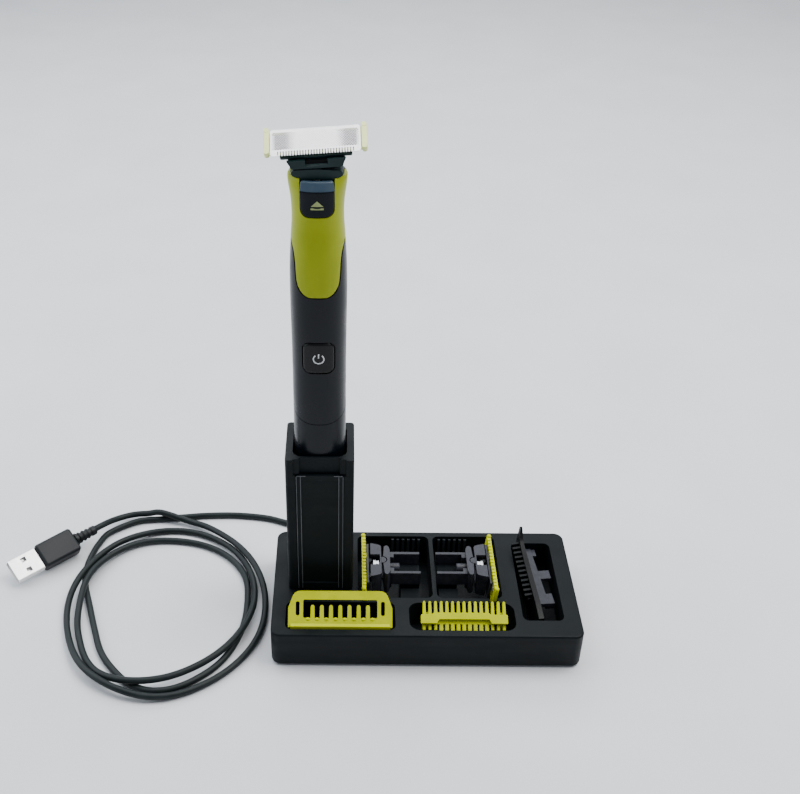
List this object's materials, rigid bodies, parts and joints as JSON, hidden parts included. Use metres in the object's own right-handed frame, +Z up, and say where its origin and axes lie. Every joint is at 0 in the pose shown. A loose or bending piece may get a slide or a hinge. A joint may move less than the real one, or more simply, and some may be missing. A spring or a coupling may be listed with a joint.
{
  "type": "beard trimmer",
  "caption": "Cordless beard trimmer with a narrow double-edged blade, docked upright in a charging stand that stores clip-on combs and spare blades, with a coiled USB lead.",
  "frame": {"origin": "on the surface the stand stands on, under the middle of the tray", "axes": "+Z up along the trimmer, +X to the right along the stand, -Y to the front"},
  "size_m": [0.2775, 0.1261, 0.2424],
  "materials": {
    "printed_black": "matt, fine layer lines",
    "satin_black": "satin",
    "dark_green_black": "satin",
    "grey_black": "satin",
    "lime": "satin",
    "pale_lime": "satin",
    "steel": "brushed",
    "rubber": "matt",
    "board_green": "lacquered board",
    "battery_blue": "shrink sleeve",
    "white_plastic": "satin"
  },
  "bodies": {
    "stand": {"stand_tray": "printed_black", "base_cover": "printed_black", "rubber_foot_1": "rubber", "rubber_foot_2": "rubber", "rubber_foot_3": "rubber", "rubber_foot_4": "rubber", "stand_tower": "printed_black", "tower_front_cover": "printed_black", "dock_plug": "rubber", "dock_cable": "rubber", "cable_grommet": "rubber", "usb_cable_lead": "rubber", "usb_cable_coil": "rubber", "usb_cable_tail": "rubber", "usb_strain_relief": "rubber", "usb_plug_body": "rubber", "usb_plug_shell": "steel", "usb_plug_tongue": "white_plastic"},
    "handle": {"main_housing": "satin_black", "lower_housing": "satin_black", "lime_panel": "lime", "seam_seal": "rubber", "inner_chassis": "grey_black", "battery_cell": "battery_blue", "circuit_board": "board_green", "power_switch": "white_plastic", "status_led": "white_plastic", "charge_socket": "rubber", "motor_can": "steel", "drive_block": "grey_black", "arm_pin": "steel", "release_spring": "steel", "chassis_screw_1": "steel", "chassis_screw_2": "steel"},
    "rotor": {"motor_rotor": "steel"},
    "arm": {"drive_arm": "white_plastic"},
    "slider": {"release_slider": "dark_green_black"},
    "button": {"power_button": "satin_black"},
    "cartridge": {"blade_clip": "dark_green_black"},
    "cradle": {"blade_cradle": "dark_green_black"},
    "head": {"blade_base": "dark_green_black", "blade_frame": "pale_lime", "comb_plate": "steel"},
    "cutter": {"cutter": "steel"},
    "stubble_comb": {"stubble_comb": "lime"},
    "skin_guard": {"skin_guard": "lime"},
    "precision_comb": {"precision_comb": "printed_black", "precision_comb_clip": "printed_black"},
    "spare_left": {"spare_left_blade_clip": "grey_black", "spare_left_blade_cradle": "grey_black", "spare_left_blade_base": "grey_black", "spare_left_blade_frame": "lime", "spare_left_comb_plate": "steel"},
    "spare_right": {"spare_right_blade_clip": "grey_black", "spare_right_blade_cradle": "grey_black", "spare_right_blade_base": "grey_black", "spare_right_blade_frame": "lime", "spare_right_comb_plate": "steel"}
  },
  "joints": [
    {"name": "trimmer_lift", "type": "slide", "parent": "stand", "child": "handle", "axis": [0, 0, 1], "range_m": [0, 0.06]},
    {"name": "motor_spin", "type": "hinge", "parent": "handle", "child": "rotor", "pos_m": [-0.0487, 0.0082, 0.182], "axis": [0, 0, 1], "continuous": true},
    {"name": "arm_swing", "type": "hinge", "parent": "handle", "child": "arm", "pos_m": [-0.0487, 0.0082, 0.204], "axis": [0, 1, 0], "range_deg": [-1.9, 1.9]},
    {"name": "slider_release", "type": "slide", "parent": "handle", "child": "slider", "axis": [0, 0, 1], "range_m": [0, 0.0025], "stiffness_N_per_m": 300},
    {"name": "power_press", "type": "slide", "parent": "handle", "child": "button", "axis": [0, 1, 0], "range_m": [0, 0.0006], "stiffness_N_per_m": 600},
    {"name": "blade_eject", "type": "slide", "parent": "handle", "child": "cartridge", "axis": [0, 0, 1], "range_m": [0, 0.02]},
    {"name": "blade_roll", "type": "hinge", "parent": "cartridge", "child": "cradle", "pos_m": [-0.0487, 0.0082, 0.22825], "axis": [0, 1, 0], "range_deg": [-0.7, 9.3]},
    {"name": "blade_rock", "type": "hinge", "parent": "cradle", "child": "head", "pos_m": [-0.04905, 0.00875, 0.23287], "axis": [0.9972, 0, 0.075], "range_deg": [-6, 6]},
    {"name": "cutter_stroke", "type": "slide", "parent": "head", "child": "cutter", "axis": [0.9972, 0, 0.075], "range_m": [-0.001, 0.001]},
    {"name": "stubble_comb_lift", "type": "slide", "parent": "stand", "child": "stubble_comb", "axis": [0, 0, 1], "range_m": [0, 0.03]},
    {"name": "skin_guard_lift", "type": "slide", "parent": "stand", "child": "skin_guard", "axis": [0, 0, 1], "range_m": [0, 0.03]},
    {"name": "precision_comb_lift", "type": "slide", "parent": "stand", "child": "precision_comb", "axis": [0, 0, 1], "range_m": [0, 0.035]},
    {"name": "spare_left_lift", "type": "slide", "parent": "stand", "child": "spare_left", "axis": [0, 0, 1], "range_m": [0, 0.03]},
    {"name": "spare_right_lift", "type": "slide", "parent": "stand", "child": "spare_right", "axis": [0, 0, 1], "range_m": [0, 0.03]}
  ],
  "couplings": [
    {"joint": "cutter_stroke", "follows": "arm_swing", "m_per_rad": 0.03}
  ]
}
